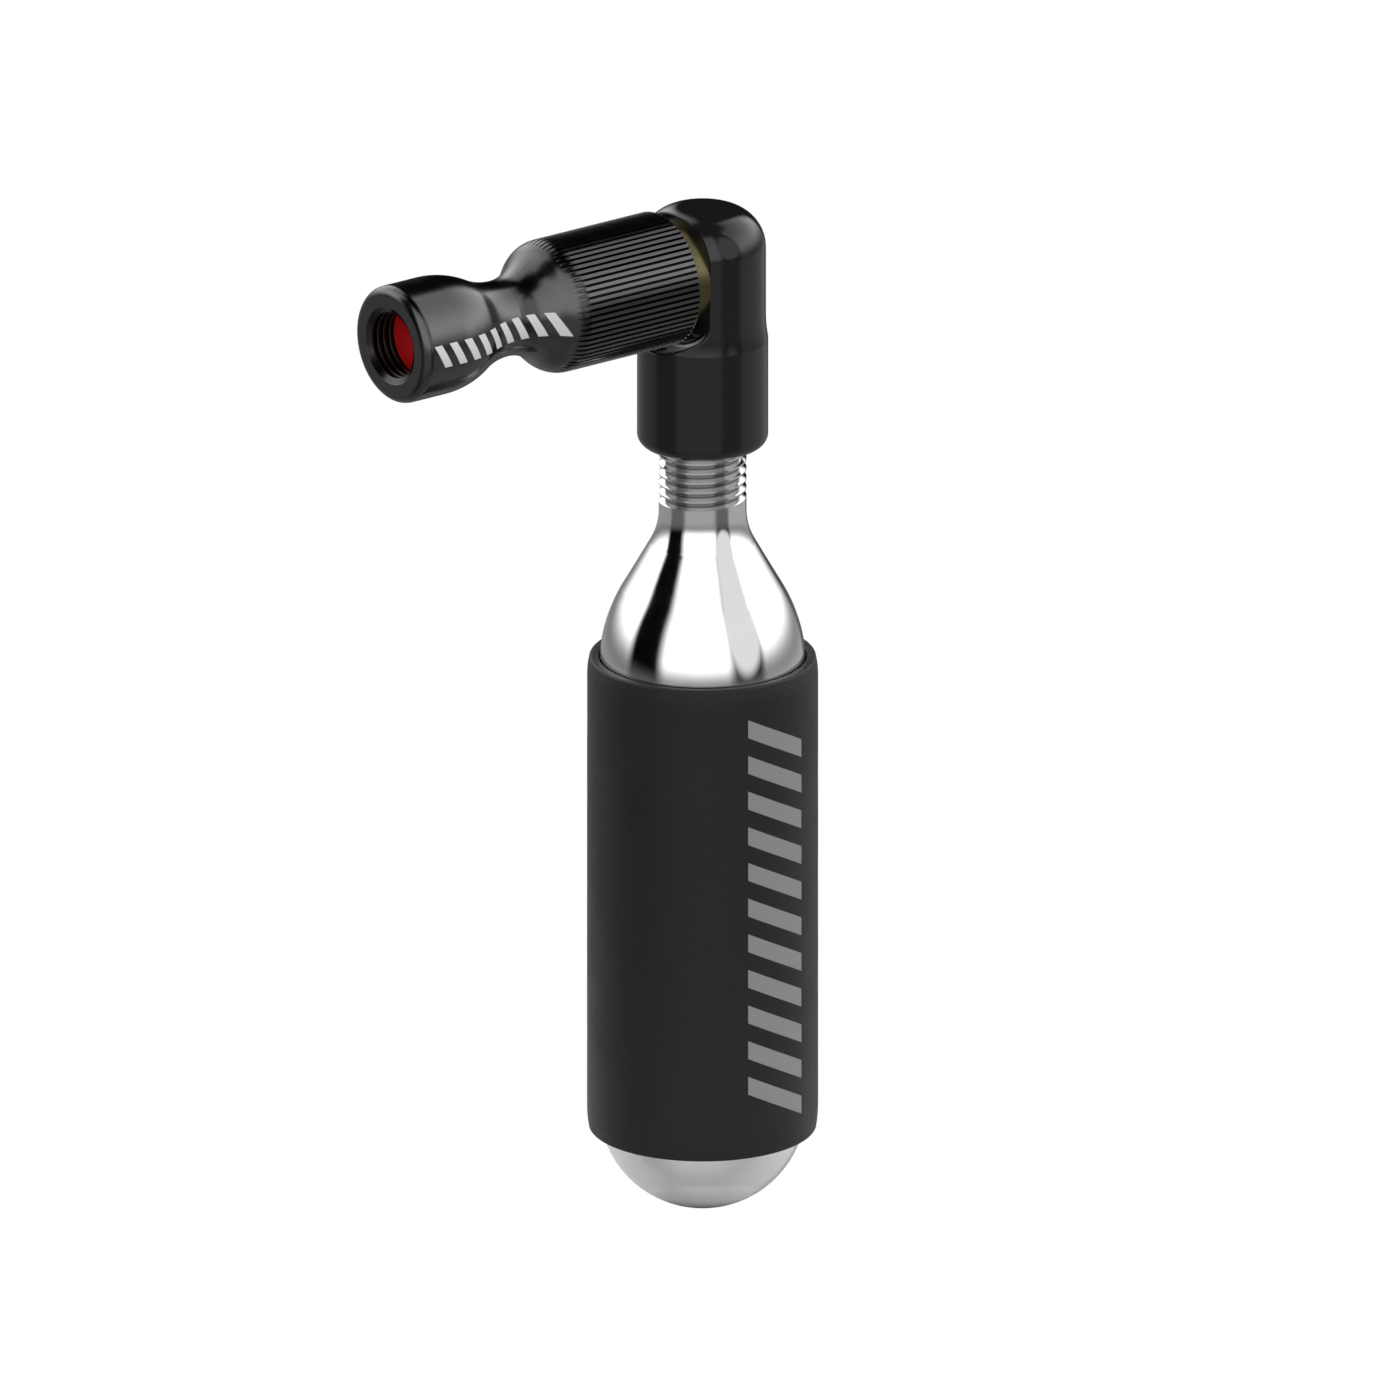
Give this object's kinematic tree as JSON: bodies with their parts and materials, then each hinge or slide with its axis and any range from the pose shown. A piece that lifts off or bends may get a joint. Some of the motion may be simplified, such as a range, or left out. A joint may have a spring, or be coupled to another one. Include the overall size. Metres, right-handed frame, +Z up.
{
  "type": "portable tire inflator",
  "caption": "Push-to-inflate CO2 tyre inflator: knurled threaded valve chuck, right-angle head, and a screw-in gas cartridge in a foam sleeve.",
  "frame": {"origin": "centre of the chuck's mouth, where the tyre valve enters", "axes": "+X from the mouth along the chuck's axis into the head, +Z up, with the cartridge hanging from the head along -Z"},
  "size_m": [0.0542, 0.0246, 0.1121],
  "materials": {
    "black_anodised": "black anodised, semi-gloss",
    "head_anodised": "black anodised and polished, gloss",
    "red_rubber": "smooth red rubber",
    "black_rubber": "smooth black rubber",
    "bronze": "turned bronze-coloured brass",
    "brass": "turned brass",
    "steel": "ground steel",
    "spring_steel": "drawn spring wire",
    "nickel_plate": "bright nickel-plated steel",
    "white_plastic": "turned nylon",
    "foam": "matte black closed-cell foam with a smooth knit face"
  },
  "bodies": {
    "chuck": {"chuck_body": "black_anodised", "chuck_seal": "red_rubber", "seal_washer": "steel", "push_disc": "brass", "retaining_ring": "spring_steel"},
    "poppet": {"valve_poppet": "steel", "poppet_seal": "black_rubber"},
    "head": {"elbow_body": "head_anodised", "valve_barrel": "bronze", "valve_seat": "white_plastic", "spring_plug": "brass", "chuck_o_ring": "black_rubber", "barrel_o_ring": "black_rubber", "return_spring": "spring_steel", "poppet_spring": "spring_steel", "lance_carrier": "brass", "piercing_lance": "steel", "carrier_o_ring": "black_rubber", "cartridge_gasket": "black_rubber"},
    "cartridge_lift": {"cartridge_cap": "steel"},
    "cartridge": {"cartridge_shell": "nickel_plate"},
    "sleeve": {"foam_sleeve": "foam"}
  },
  "joints": [
    {"name": "chuck_spin", "type": "hinge", "parent": "chuck", "child": "poppet", "pos_m": [0.0419, 0, 0], "axis": [1, 0, 0], "continuous": true},
    {"name": "chuck_press", "type": "slide", "parent": "poppet", "child": "head", "axis": [-1, 0, 0], "range_m": [0, 0.002], "stiffness_N_per_m": 2500, "springref_m": -0.006, "deforming": ["return_spring", "poppet_spring"]},
    {"name": "cartridge_travel", "type": "slide", "parent": "head", "child": "cartridge_lift", "axis": [0, 0, 1], "range_m": [-0.0045, 0.00585]},
    {"name": "cartridge_turn", "type": "hinge", "parent": "cartridge_lift", "child": "cartridge", "pos_m": [0.0419, 0, 0], "axis": [0, 0, 1], "range_deg": [-1531, 1990]},
    {"name": "sleeve_slide", "type": "slide", "parent": "cartridge", "child": "sleeve", "axis": [0, 0, -1], "range_m": [0, 0.066]}
  ],
  "couplings": [
    {"joint": "cartridge_turn", "follows": "cartridge_travel", "rad_per_m": 5937.1}
  ]
}
